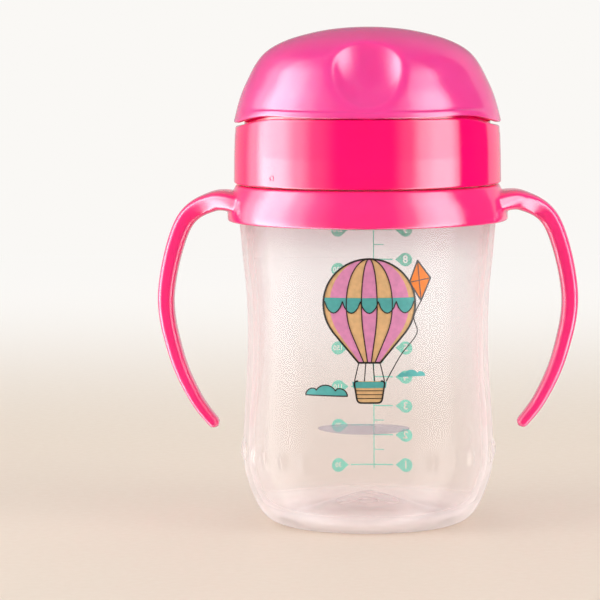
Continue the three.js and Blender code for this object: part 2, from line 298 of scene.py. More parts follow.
class Graph:
    """The shader nodes of one material or world, written as plain calls."""

    def __init__(self, owner, output="OutputMaterial"):
        owner.use_nodes = True
        self.owner = owner
        self.nodes, self.links = owner.node_tree.nodes, owner.node_tree.links
        self.nodes.clear()
        self.output = self.nodes.new("ShaderNode" + output)

    def node(self, kind, inputs=None, **settings):
        """A new node's outputs. Each input is a plain value or the socket that feeds it."""
        node = self.nodes.new("ShaderNode" + kind)
        for name, value in settings.items():
            setattr(node, name, value)
        for name, value in (inputs or {}).items():
            if isinstance(value, bpy.types.NodeSocket):
                self.links.new(value, node.inputs[name])
            else:
                node.inputs[name].default_value = value
        return node.outputs

    def place(self):
        """Position in the object's own frame, so that nothing depends on a mesh's UVs."""
        return self.node("TexCoord")["Object"]

    def axes(self, vector):
        return self.node("SeparateXYZ", {"Vector": vector})

    def noise(self, scale, detail=3.0):
        return self.node("TexNoise", {"Vector": self.place(), "Scale": scale, "Detail": detail})["Fac"]

    def graded(self, source, start, end, first, last, kind="SMOOTHSTEP"):
        """A value that runs from first to last while source runs from start to end."""
        ends = {"Value": source, "From Min": start, "From Max": end, "To Min": first, "To Max": last}
        return self.node("MapRange", ends, interpolation_type=kind)["Result"]

    def ranged(self, source, low, high):
        """Noise stretched over a range."""
        return self.graded(source, 0.3, 0.7, low, high, "LINEAR")

    def bump(self, height, strength, distance=0.0002):
        relief = {"Height": height, "Strength": strength, "Distance": distance}
        return self.node("Bump", relief)["Normal"]

    def maths(self, operation, first, second):
        """One piece of arithmetic between sockets or numbers."""
        return self.node("Math", {0: first, 1: second}, operation=operation)["Value"]

    def tone(self, share, first, second):
        """A mix of two colours."""
        return self.node("Mix", {"Factor": share, "A": first, "B": second}, data_type="RGBA")["Result"]

    def blend(self, share, first, second):
        """A mix of two shaders."""
        return self.node("MixShader", {0: share, 1: first, 2: second})["Shader"]

    def finish(self, surface):
        self.links.new(surface, self.output.inputs["Surface"])
        return self.owner


def moulded_plastic(name, colour, deep, roughness, coat, see_through=0.0, glow=0.0):
    """Glossy coloured plastic: body colour that deepens in patches, fine flow relief, a clear skin."""
    graph = Graph(bpy.data.materials.new(name))
    flow = graph.noise(260, 2)
    surface = graph.node("BsdfPrincipled", {
        "Base Color": graph.tone(graph.ranged(graph.noise(38), 0.0, 1.0), colour, deep),
        "Roughness": graph.ranged(flow, roughness * 0.85, roughness * 1.2),
        "Normal": graph.bump(flow, 0.05),
        "IOR": 1.49,
        "Coat Weight": coat,
        "Coat Roughness": 0.04,
        "Subsurface Weight": glow,
        "Subsurface Radius": (0.004, 0.0012, 0.002),
        "Subsurface Scale": 1.0})["BSDF"]
    if see_through:
        clear = graph.node("BsdfTransparent", {"Color": colour})["BSDF"]
        surface = graph.blend(see_through, surface, clear)
    return graph.finish(surface)


def clear_plastic(name):
    """Milky clear plastic: see-through face on, whiter edge on and at the foot, with painted shade under the
    ring.
    """
    graph = Graph(bpy.data.materials.new(name))
    place = graph.place()
    height = graph.axes(place)["Z"]
    skin = graph.node("NewGeometry")
    level = graph.maths("ABSOLUTE", graph.axes(skin["Normal"])["Z"], 0.0)
    facing = graph.node("LayerWeight", {"Blend": 0.5})["Facing"]
    edge = graph.maths("POWER", facing, graph.graded(level, 0.5, 0.85, 3.0, 7.0))

    tint = graph.tone(edge, (0.98, 0.966, 0.967, 1), (0.945, 0.915, 0.915, 1))
    # Painted shade: the clear colour is darkened towards the top of the cup, under the ring and collar.
    shoulder = graph.graded(height, 0.072, 0.086, 0.0, 1.0)
    tint = graph.tone(shoulder, tint, (0.89, 0.845, 0.85, 1))
    clear = graph.node("BsdfTransparent", {"Color": tint})["BSDF"]
    milk = graph.node("BsdfDiffuse", {"Color": srgb(255, 253, 253)})["BSDF"]
    lit_milk = graph.node("BsdfTranslucent", {"Color": srgb(255, 251, 251)})["BSDF"]
    haze = graph.ranged(graph.noise(60), 0.04, 0.075)
    foot = graph.graded(height, 0.0005, 0.008, 0.7, 0.0)
    density = graph.maths("ADD", graph.maths("MULTIPLY", edge, 0.55), haze)
    density = graph.maths("ADD", density, foot)
    inside = graph.blend(density, clear, graph.blend(0.5, milk, lit_milk))

    relief = graph.bump(graph.noise(60, 1), 0.12)
    gloss = graph.node("BsdfGlossy", {"Roughness": 0.12, "Normal": relief})["BSDF"]
    outward = graph.node("VectorMath", {0: place, 1: skin["Normal"]}, operation="DOT_PRODUCT")["Value"]
    outer_skin = graph.graded(outward, 0.0, 0.004, 0.0, 0.32)
    mirror = graph.node("Fresnel", {"IOR": 1.4})["Fac"]
    shine = graph.maths("SUBTRACT", mirror, skin["Backfacing"])
    shine = graph.maths("MULTIPLY", graph.maths("MAXIMUM", shine, 0.0), outer_skin)
    return graph.finish(graph.blend(shine, inside, gloss))


def silicone(name, colour):
    """Frosted soft silicone: light passes through it softly, with a dull skin."""
    graph = Graph(bpy.data.materials.new(name))
    grain = graph.noise(900)
    return graph.finish(graph.node("BsdfPrincipled", {
        "Base Color": colour,
        "Subsurface Weight": 0.6,
        "Subsurface Radius": (0.003, 0.0028, 0.0026),
        "Subsurface Scale": 1.0,
        "Roughness": graph.ranged(grain, 0.42, 0.58),
        "Normal": graph.bump(grain, 0.1, 0.0001)})["BSDF"])


def ink(name, colour, cover=1.0, lit_through=0.3):
    """Printed ink: a little uneven in tone, satin, thin enough for light behind to show."""
    graph = Graph(bpy.data.materials.new(name))
    darker = tuple(channel * 0.86 for channel in colour[:3]) + (1,)
    tone = graph.tone(graph.ranged(graph.noise(700), 0.0, 1.0), colour, darker)
    print_face = graph.node("BsdfPrincipled", {"Base Color": tone, "Roughness": 0.4})["BSDF"]
    behind = graph.node("BsdfTranslucent", {"Color": tone})["BSDF"]
    surface = graph.blend(lit_through, print_face, behind)
    if cover < 1:
        surface = graph.blend(cover, graph.node("BsdfTransparent")["BSDF"], surface)
    return graph.finish(surface)


def add_piece(piece, body, material, replaces=()):
    piece.data.materials.clear()
    piece.data.materials.append(material)
    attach(piece, body)
    if replaces:
        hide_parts(*replaces)


# ---- cup ----
CUP_OUTSIDE = through([  # the outer profile, from the standing ring up to the shoulder
    (25.6, 0.0), (28.4, 1.3), (31.0, 4.3), (33.4, 9.6), (35.0, 15.2), (35.4, 21.0), (35.05, 30.0),
    (34.3, 41.0), (33.9, 54.0), (34.3, 66.0), (35.2, 75.0), (CHEST, 85.0)], 12)
GRIP_HEIGHT = 20.4  # the row of raised ovals near the foot
GRIP_PITCH = math.radians(12)


def grip_relief(azimuth, height):
    """Raised ovals on both sides of the cup, under the handles."""
    nearest = round(azimuth / GRIP_PITCH - 0.5) + 0.5
    if not 2 <= nearest <= 13:
        return 0.0
    across = (azimuth - nearest * GRIP_PITCH) * CHEST / 1.9
    up = (height - GRIP_HEIGHT) / 3.9
    return 0.72 * smoothstep(1.0, 0.15, math.hypot(across, up))


def thread_relief(angle, height, start):
    """How far a point of the neck stands on the helical thread, 0 to 1."""
    climbed = (height - start) / THREAD_PITCH
    turn = (angle / (2 * math.pi)) % 1.0
    whole = round(climbed - turn)
    along = whole + turn
    if not 0 <= along <= THREAD_TURNS:
        return 0.0
    offset = abs(climbed - along) * THREAD_PITCH
    run_out = smoothstep(0, 0.06, min(along, THREAD_TURNS - along))
    return smoothstep(1.1, 0.5, offset) * run_out


def cup_body():
    """One closed wall: pushed-up base, outside, threaded neck, rim, then down the inside."""
    apex = [(0, 6.5), (1.2, 6.45), (2.6, 6.05)]
    cone_foot = rounded([(18.6, 0.95), (19.6, 0.0), (25.6, 0.0)], 0.9)
    lower = apex + evenly([(4.2, 5.5), (18.6, 0.95)], 1.5) + cone_foot
    shoulder = rounded([(CHEST, 85.0), (CHEST, 87.4), (NECK + 0.6, 88.4), (NECK, 89.6)], 1.4)
    neck = evenly([(NECK, 89.6), (NECK, RIM - 0.7)], 0.4)
    rim = rounded([(NECK, RIM - 0.7), (NECK, RIM), (NECK - WALL, RIM), (NECK - WALL, RIM - 0.8)], 0.6)
    inside = [(NECK - WALL, RIM - 0.8), (NECK - WALL, 88.6)]
    chest = rounded([(NECK - WALL, 88.6), (NECK - WALL, 87.0), (CHEST - WALL - 0.2, 85.4),
                     (CHEST - WALL, 82.0)], 1.6)
    wall = [(radius - WALL, height) for radius, height in reversed(CUP_OUTSIDE)
            if 14.0 < height < 82.0]
    floor = through([wall[-1], (32.0, 9.8), (29.6, 5.4), (26.6, 2.7), (23.0, 1.9)], 8)
    cone = [(23.0, 1.9), (19.8, 2.5), (4.6, 7.4), (2.6, 8.0), (1.2, 8.3), (0, 8.35)]
    profile = lower + evenly(CUP_OUTSIDE, 0.6) + shoulder + neck + rim
    profile += inside + chest + wall + floor + rounded(cone, 1.2)

    def place(point):
        radius = math.hypot(point.x, point.y)
        if radius < 1:
            return point
        swell = 0.0
        if abs(point.z - GRIP_HEIGHT) < 4.5 and radius > CHEST - 1.3:
            swell = grip_relief(from_front(point), point.z)
        if point.z > NECK and abs(radius - NECK) < 0.01 and 90 < point.z < RIM - 0.6:
            swell = THREAD_DEPTH * thread_relief(math.atan2(point.y, point.x), point.z, THREAD_START)
        return Vector((point.x, point.y, 0)) * ((radius + swell) / radius) + Vector((0, 0, point.z))

    return turned("cup_body_clear", without_repeats(profile), FINE, place)


# ---- handle ring ----
def handle_strap(name, side):
    """A tapering strap from inside the ring out to a free tip, on the +X or -X side."""
    path = through([(35.4, 90.4), (43.4, 90.9), (52.1, 84.4), (REACH - 2.4, 64.6), (54.3, 47.8),
                    (48.7, 34.9), (42.6, HANDLE_TIP + 0.8)], 14)
    around = 40
    bm = bmesh.new()
    rings = []
    for index, (x, z) in enumerate(path):
        along = index / (len(path) - 1)
        before = Vector(path[max(index - 1, 0)])
        after = Vector(path[min(index + 1, len(path) - 1)])
        tangent = (after - before).normalized()
        tip = math.sqrt(max(1 - smoothstep(0.955, 1.0, along) ** 2, 0.02))
        thickness = (5.7 - 2.7 * along ** 1.5) * tip
        width = (9.6 + 17 * (1 - smoothstep(0, 0.3, along)) - 1.4 * along) * tip
        ring = []
        for step in range(around):
            angle = 2 * math.pi * step / around
            cosine, sine = math.cos(angle), math.sin(angle)
            across = math.copysign(abs(cosine) ** 0.5, cosine) * thickness / 2
            deep = math.copysign(abs(sine) ** 0.6, sine) * width / 2
            point = Vector((x + tangent.y * across, deep, z - tangent.x * across))
            point.x *= side
            ring.append(bm.verts.new(point * MM))
        rings.append(ring)
    bridge(bm, rings)
    return new_object(name, finish_mesh(bm))


def handle_ring():
    """The flared ring and both handles, melted into one moulding with soft inner corners."""
    bottom, top, radius = RING_BOTTOM, RING_TOP, RING_RADIUS
    outer = through([(radius, bottom + 0.9), (radius - 0.2, bottom + 3.4),
                     (radius - 0.95, bottom + 6.6), (radius - 2.3, top)], 10)
    profile = rounded([(36.6, bottom + 1.4), (36.6, bottom), (radius - 0.1, bottom), outer[0]], 0.5)
    profile += outer
    profile += rounded([outer[-1], (radius - 2.5, top + 0.3), (33.4, top + 0.3), (33.4, 92.0)], 0.4)
    profile += [(33.4, 89.0), (35.2, 88.0), (36.6, 87.0)]
    ring = turned("handle_ring_pink", profile, ROUND, closed=True)
    bore = turned("bore", [(0, bottom - 2), (33.9, bottom - 2), (33.9, top + 4), (0, top + 4)], ROUND)
    both = combine(handle_strap("strap", 1), handle_strap("strap_left", -1), "UNION")
    both = combine(both, bore, "DIFFERENCE")
    ring = combine(ring, both, "UNION")
    melt = ring.modifiers.new("melt", "REMESH")
    melt.mode = "VOXEL"
    melt.voxel_size = 0.36 * MM
    ease = ring.modifiers.new("ease", "SMOOTH")
    ease.factor = 0.5
    ease.iterations = 7
    apply_modifiers(ring)
    for face in ring.data.polygons:
        face.use_smooth = True
    return ring


# ---- collar ----
def dip_at(azimuth):
    """How far the band's top edge dips beside the pivots."""
    falls = smoothstep(math.radians(40), math.radians(86), azimuth)
    rises = smoothstep(math.radians(122), math.radians(148), azimuth)
    return SIDE_DIP * falls * (1 - rises)


def collar_band():
    """The band, its deck, the upstand that the lid closes around, and the female thread."""
    bottom, top, radius = BAND_BOTTOM, BAND_TOP, BAND_RADIUS
    top_radius = radius - BAND_DRAFT
    outside = evenly(rounded([(BORE + 0.8, bottom), (radius, bottom), (radius - 0.1, bottom + 8),
                              (top_radius, top), (SPIGOT, top)], 0.55), 1.2)
    spigot = rounded([(SPIGOT, top), (SPIGOT, SPIGOT_TOP), (SPIGOT - 1.2, SPIGOT_TOP),
                      (SPIGOT - 1.2, DECK_TOP), (13.0, DECK_TOP), (13.0, DECK_BOTTOM),
                      (BORE, DECK_BOTTOM), (BORE, DECK_BOTTOM - 1)], 0.35)
    bore = evenly([(BORE, DECK_BOTTOM - 1), (BORE, bottom + 0.6)], 0.4)
    female_start = THREAD_START + THREAD_PITCH / 2

    def place(point):
        reach = math.hypot(point.x, point.y)
        if point.z > top - 6 and reach > SPIGOT - 0.01 and point.z < top + 0.2:
            share = smoothstep(top - 6, top - 1, point.z)
            return point - Vector((0, 0, dip_at(from_front(point)) * share))
        if reach < 14:
            return point + Vector((0, SPOUT_Y, 0))
        if abs(reach - BORE) < 0.01 and bottom + 1 < point.z < DECK_BOTTOM - 1:
            ridge = thread_relief(math.atan2(point.y, point.x), point.z, female_start)
            inward = (reach - THREAD_DEPTH * ridge) / reach
            return Vector((point.x * inward, point.y * inward, point.z))
        return point

    profile = without_repeats(outside + spigot + bore)
    band = turned("collar_band", profile, FINE, place, closed=True)
    clear = HUB_RADIUS + 0.6
    room = [(0, LUG_FACE), (clear, LUG_FACE), (clear, BEYOND), (0, BEYOND)]
    for side in (1, -1):
        combine(band, along_pivot("room", room, side), "DIFFERENCE")
    return band


def parting_line(name, x, proud):
    """The fine upright ridge that the halves of the mould leave on the band."""
    low, high, half = BAND_BOTTOM + 0.7, BAND_TOP - 0.7, 0.1
    bm = bmesh.new()
    rings = []
    for row in range(13):
        height = low + (high - low) * row / 12
        radius = BAND_RADIUS - BAND_DRAFT * (height - BAND_BOTTOM) / (BAND_TOP - BAND_BOTTOM)
        back = -math.sqrt((radius - 0.2) ** 2 - x ** 2)
        front = -math.sqrt((radius + proud) ** 2 - x ** 2)
        corners = ((x - half, back), (x + half, back), (x + half * 0.4, front), (x - half * 0.4, front))
        rings.append([bm.verts.new(Vector((*corner, height)) * MM) for corner in corners])
    bridge(bm, rings)
    return new_object(name, finish_mesh(bm))


def gate_mark():
    """The small round scar where the plastic was let into the mould."""
    azimuth = math.radians(44.5)
    profile = rounded([(0, BAND_RADIUS - 0.5), (0.85, BAND_RADIUS - 0.5), (0.85, BAND_RADIUS + 0.1),
                       (0.55, BAND_RADIUS + 0.1), (0.4, BAND_RADIUS - 0.08), (0, BAND_RADIUS - 0.08)], 0.06)

    def place(point):
        across, out, up = point.x, point.z, point.y + BAND_BOTTOM + 2.6
        return Vector((across * math.cos(azimuth) - out * math.sin(azimuth),
                       -across * math.sin(azimuth) - out * math.cos(azimuth), up))

    return turned("gate_mark", profile, 32, place)


def dome_outside():
    """The lid's outer profile in one smooth curve, from its lip over to the crown."""
    points = [(LID_RADIUS, 113.6), (36.35, 118.2), (35.15, 121.8), (33.45, 125.5), (31.45, 129.3),
              (29.1, 132.3), (25.9, 134.6), (21.6, 136.5), (16.7, 137.9), (11.4, 138.98),
              (5.8, 139.6), (0.0, LID_TOP), (-5.8, 139.6)]
    steps = 8
    return through(points, steps)[:-steps]


def offset_inside(profile, wall):
    """The profile moved inwards by a wall's thickness."""
    inside = []
    for index, (radius, height) in enumerate(profile):
        before = profile[max(index - 1, 0)]
        after = profile[min(index + 1, len(profile) - 1)]
        run = math.dist(before, after)
        moved = radius - wall * (after[1] - before[1]) / run
        lowered = height + wall * (after[0] - before[0]) / run
        inside.append((max(moved, 0.0), lowered))
    inside[-1] = (0.0, profile[-1][1] - wall)
    return inside


def dome_height(profile, radius, beyond):
    """Height of a dome's profile at a radius, or the given height if it lies beyond the lip."""
    for (r0, z0), (r1, z1) in zip(profile, profile[1:]):
        if r1 <= radius <= r0:
            return z0 + (z1 - z0) * (radius - r0) / min(r1 - r0, -1e-9)
    return beyond


def hood_outline(offset):
    """Half-section of the fixed hood about the pivot line: [radius, x]."""
    end = LUG_FACE - offset
    ceiling = offset_inside(dome_outside(), LID_WALL)
    points = [(0.0, -end)]
    for step in range(49):
        x = -end * math.cos(math.pi * step / 48)
        reach = math.hypot(abs(x) + offset, PIVOT_Y)
        rounded_end = 1.6 * (x / end) ** 12
        height = dome_height(ceiling, reach, ceiling[0][1]) - PIVOT_Z - 0.6 - rounded_end - offset
        points.append((height, x))
    return points + [(0.0, end)]


def rear_hood():
    """The fixed hood behind the pivots: a spindle above the pivot line, straight sides below."""
    rows = 20
    bm = bmesh.new()
    sheets = []
    lowest = DECK_TOP - 0.3
    for offset in (0.0, LID_WALL):
        sheet = []
        for radius, x in hood_outline(offset):
            column = []
            for row in range(rows + 1):
                angle = math.pi / 2 * (1 - row / rows)
                y, z = PIVOT_Y + radius * math.cos(angle), PIVOT_Z + radius * math.sin(angle)
                column.append(Vector((x, y, z)))
            for row in range(1, 6):
                height = PIVOT_Z + (lowest - PIVOT_Z) * row / 5
                column.append(Vector((x, PIVOT_Y + radius, height)))
            sheet.append([bm.verts.new(point * MM) for point in column])
        sheets.append(sheet)
    for sheet in sheets:
        for left, right in zip(sheet, sheet[1:]):
            for row in range(len(left) - 1):
                bm.faces.new([left[row], right[row], right[row + 1], left[row + 1]])
    outer, inner = sheets
    last = len(outer[0]) - 1
    for index in range(len(outer) - 1):
        for row in (0, last):
            bm.faces.new([outer[index][row], outer[index + 1][row],
                          inner[index + 1][row], inner[index][row]])
    for column in (0, len(outer) - 1):
        for row in range(rows, last):
            bm.faces.new([outer[column][row], outer[column][row + 1],
                          inner[column][row + 1], inner[column][row]])
    return new_object("rear_hood", finish_mesh(bm))


def lug(side):
    """A post on the deck that carries the lid's stub pin."""
    inner = LUG_FACE - 3
    turned_part = rounded([(0, inner), (HUB_RADIUS, inner), (HUB_RADIUS, LUG_FACE),
                           (2.0, LUG_FACE), (2.0, 31.7), (0, 31.7)], 0.3)
    piece = along_pivot("lug", turned_part, side, 64)
    low = (min(inner * side, LUG_FACE * side), PIVOT_Y - HUB_RADIUS, DECK_TOP - 0.3)
    high = (max(inner * side, LUG_FACE * side), PIVOT_Y + HUB_RADIUS, PIVOT_Z)
    piece = combine(piece, block("post", low, high), "UNION")
    piece.name = "lug_right" if side > 0 else "lug_left"
    return piece


# ---- lid ----
def lip_height(azimuth):
    """Where the lip's rounded edge starts, half a millimetre above its lowest line."""
    gap = 0.8 + 0.7 * smoothstep(math.radians(22), math.radians(62), azimuth)
    return BAND_TOP + gap - dip_at(azimuth)


DISH_PLACE = Vector((0, -29.4, 127.2))  # middle of the thumb dish's rim
DISH_LEAN = math.radians(36)
DISH_DEPTH = 2.6
DISH_AXIS = Vector((0, -math.cos(DISH_LEAN), math.sin(DISH_LEAN)))
DISH_UP = Vector((0, math.sin(DISH_LEAN), math.cos(DISH_LEAN)))
DISH_FORM = (14.0, 14.0, 19.4)  # half sizes of the egg shape pressed in: across, deep, tall
DISH_CENTRE = DISH_PLACE + DISH_AXIS * (DISH_FORM[1] - DISH_DEPTH)


def press_dish(point, wall):
    """Presses the thumb dish into the front of the dome, with a softly rounded rim."""
    reach = point - DISH_CENTRE
    across, deep, tall = (half + wall for half in DISH_FORM)
    share = Vector((reach.x / across, reach.dot(DISH_AXIS) / deep, reach.dot(DISH_UP) / tall)).length
    inside = reach.length * (1 / share - 1)
    soft = 1.1
    if inside < -2 * soft or reach.dot(DISH_AXIS) > 0:
        return point
    depth = inside if inside > 2 * soft else (inside + 2 * soft) ** 2 / (8 * soft)
    return point + reach.normalized() * depth


def visor_lid():
    """The domed shell with its wavy lip and thumb dish."""
    dome = dome_outside()
    outside = evenly(dome, 0.7)
    inside = evenly(offset_inside(dome, LID_WALL), 0.9)
    lip_line = outside[0][1]
    lip = rounded([inside[0], (inside[0][0] + 0.1, lip_line - 0.5),
                   (outside[0][0] - 0.1, lip_line - 0.5), outside[0]], 0.5)
    profile = list(reversed(inside)) + lip[1:-1] + outside

    def place(point):
        radius = math.hypot(point.x, point.y)
        fade = smoothstep(lip_line + 4.4, lip_line + 0.5, point.z)
        if radius > 30:
            lift = lip_height(from_front(point)) - lip_line
            point = point + Vector((0, 0, lift * fade))
        middle_of_wall = dome_height(dome, radius, dome[0][1] - 10) - LID_WALL * 0.5
        is_inside = radius < 1 or point.z < middle_of_wall
        return press_dish(point, LID_WALL if is_inside else 0.0)

    return cut_front(turned("visor_lid_pink", profile, FINE, place))


def cut_front(shell):
    """Keeps the part ahead of the pivot plane, with an eased back edge, and adds the hubs."""
    bm = bmesh.new()
    bm.from_mesh(shell.data)
    ease = 0.35
    for y, clear in ((PIVOT_Y - ease, False), (PIVOT_Y, True)):
        split_at(bm, (0, y * MM, 0), (0, 1, 0), 1e-7, clear)
    bm.normal_update()
    rim = [edge for edge in bm.edges if edge.is_boundary]
    for vertex in {vertex for edge in rim for vertex in edge.verts}:
        vertex.co -= vertex.normal * ease * 0.6 * MM
        vertex.co.y = PIVOT_Y * MM
    bmesh.ops.edgenet_fill(bm, edges=rim)
    bmesh.ops.triangulate(bm, faces=[face for face in bm.faces if len(face.verts) > 4])
    finish_mesh(bm)
    bm.to_mesh(shell.data)
    bm.free()
    raised = 0.35
    swollen = [(radius + raised, height) for radius, height in dome_outside()[:-1]]
    swollen += [(0.0, LID_TOP + raised)]
    tall = [(0, 100.0), (LID_RADIUS + raised, 100.0)] + swollen
    disc = rounded([(0, HUB_FACE), (HUB_RADIUS, HUB_FACE), (HUB_RADIUS, BEYOND), (0, BEYOND)], 0.2)
    socket = [(0, 20), (2.3, 20), (2.3, 32.0), (0, 32.0)]
    for side in (1, -1):
        hub = along_pivot("hub", disc, side)
        combine(hub, turned("tall_dome", tall, FINE), "INTERSECT")
        combine(shell, hub, "UNION")
        bore = along_pivot("socket", socket, side, 48)
        combine(shell, bore, "DIFFERENCE")
    return shell


# ---- spout ----
def soft_spout():
    """Round base that grips the deck, narrowing to a flat oval mouth with a drinking hole."""
    low, top = SPOUT_LOW.z, SPOUT_HIGH.z
    deck_low, deck_high = DECK_BOTTOM - 0.35, DECK_TOP + 0.35
    base = rounded([(11.9, 110.4), (11.9, low), (14.4, low), (15.6, deck_low - 1.4), (15.6, deck_low),
                    (12.65, deck_low), (12.65, deck_high), (14.8, deck_high), (14.8, deck_high + 0.9),
                    (13.5, 115.0)], 0.35)
    body = through([(13.5, 115.0), (11.7, 118.6), (10.2, 124.0), (9.6, 129.0), (8.7, 131.2),
                    (7.0, top), (4.0, top - 0.1)], 8)
    mouth = rounded([(4.0, top - 0.1), (1.3, top - 0.3), (1.3, top - 1.7), (6.0, top - 1.7)], 0.4)
    inside = through([(6.0, top - 1.7), (8.0, 129.0), (8.6, 124.0), (9.9, 118.6), (11.0, 115.4),
                      (11.0, 110.8), (11.9, 110.4)], 6)
    profile = base + body[1:] + mouth[1:] + inside[1:-1]

    def place(point):
        flat = 1 - 0.42 * smoothstep(114, 130, point.z)
        return Vector((point.x, point.y * flat + SPOUT_Y, point.z))

    return turned("soft_spout_silicone", evenly(profile, 1.2), 160, place, closed=True)


# ---- printing ----
INK = 0.05  # thickness of a print layer


def printed(name, shapes, layer, side=-1, thick=INK):
    """Flat [x, z] polygons wrapped on the cup's front (side -1) or back (side 1) as thin ink."""
    bm = bmesh.new()
    for shape in shapes:
        corners = [bm.verts.new((x, z, 0)) for x, z in shape]
        bm.faces.new(corners)
    bmesh.ops.remove_doubles(bm, verts=bm.verts, dist=1e-3)
    bmesh.ops.triangulate(bm, faces=bm.faces[:])
    step = 1.1
    for normal in (Vector((1, 0, 0)), Vector((0, 1, 0))):
        values = [vertex.co.dot(normal) for vertex in bm.verts]
        cut = math.floor(min(values) / step) * step + step
        while cut < max(values):
            split_at(bm, normal * cut, normal, 1e-5)
            cut += step
    lift = 0.03 + layer * (INK + 0.01)
    top = {}
    for vertex in list(bm.verts):
        x, height = vertex.co.x, vertex.co.y
        point = []
        for extra in (lift, lift + thick):
            reach = radius_at(CUP_OUTSIDE, height) + extra
            point.append(Vector((x, side * math.sqrt(reach ** 2 - x ** 2), height)) * MM)
        vertex.co = point[0]
        top[vertex] = bm.verts.new(point[1])
    boundary = [edge for edge in bm.edges if edge.is_boundary]
    faces = list(bm.faces)
    for face in faces:
        bm.faces.new([top[vertex] for vertex in reversed(face.verts)])
    for edge in boundary:
        first, second = edge.verts
        bm.faces.new([first, second, top[second], top[first]])
    return new_object(name, finish_mesh(bm, 50))


def stroke(points, width):
    """The polygons of a pen line of one width."""
    pieces = []
    for start, end in zip(points, points[1:]):
        along = Vector(end) - Vector(start)
        if along.length < 1e-6:
            continue
        along.normalize()
        side = Vector((-along.y, along.x)) * width / 2
        reach = along * width * 0.28
        first, last = Vector(start) - reach, Vector(end) + reach
        pieces.append([first + side, first - side, last - side, last + side])
    return pieces


def ellipse(x, z, half_width, half_height, steps=40):
    return [(x + half_width * math.cos(2 * math.pi * step / steps),
             z + half_height * math.sin(2 * math.pi * step / steps)) for step in range(steps)]


def balloon_half_width(height):
    """Half the envelope's width: round above, tapering straight to the skirt below."""
    if height < TAPER_TOP:
        return SKIRT_HALF + TAPER * (height - SKIRT)
    return math.sqrt(max(ENVELOPE_RADIUS ** 2 - (height - ENVELOPE_CENTRE) ** 2, 0.0025))


PICTURE_X = 0.4
ENVELOPE_RADIUS, ENVELOPE_CENTRE = 12.6, 64.6
CROWN, TAPER_TOP, SKIRT = 77.2, 56.5, 48.6
SKIRT_HALF = 3.0
TAPER_HALF = math.sqrt(ENVELOPE_RADIUS ** 2 - (TAPER_TOP - ENVELOPE_CENTRE) ** 2)
TAPER = (TAPER_HALF - SKIRT_HALF) / (TAPER_TOP - SKIRT)
BASKET_TOP, BASKET_BOTTOM = 43.6, 37.6


def seam(share):
    """A line up the envelope, at a share of its half-width."""
    heights = [SKIRT + (CROWN - SKIRT) * math.sin(math.pi / 2 * step / 32) for step in range(33)]
    return [(PICTURE_X + balloon_half_width(z) * share, z) for z in heights]


def gore(left, right):
    """A stripe of the envelope between two seams, as a ladder of quads."""
    pairs = list(zip(seam(left), seam(right)))
    return [[low_left, low_right, high_right, high_left]
            for (low_left, low_right), (high_left, high_right) in zip(pairs, pairs[1:])]


def scallops(height, count):
    """Bunting hung round the envelope's widest part."""
    shapes = []
    half = balloon_half_width(height) - 0.3
    for index in range(count):
        start = PICTURE_X - half + 2 * half * index / count
        end = start + 2 * half / count
        drop = [(start + (end - start) * t / 8, height - 3.2 * math.sin(math.pi * t / 8) ** 0.7)
                for t in range(9)]
        shapes.append([(start, height + 1.0), *drop, (end, height + 1.0)])
    return shapes


def puff(x, z, size):
    """A flat-bottomed cloud."""
    outline = [(x - 1.9 * size, z)]
    for centre, radius, first, last in ((-1.2, 0.7, 180, 75), (0, 1.05, 150, 30), (1.3, 0.75, 105, 0)):
        for step in range(9):
            angle = math.radians(first + (last - first) * step / 8)
            outline.append((x + (centre + radius * math.cos(angle)) * size,
                            z + radius * math.sin(angle) * size * 0.95))
    return outline


KITE = [(13.6, 76.6), (17.2, 71.6), (14.6, 65.4), (11.4, 70.6)]


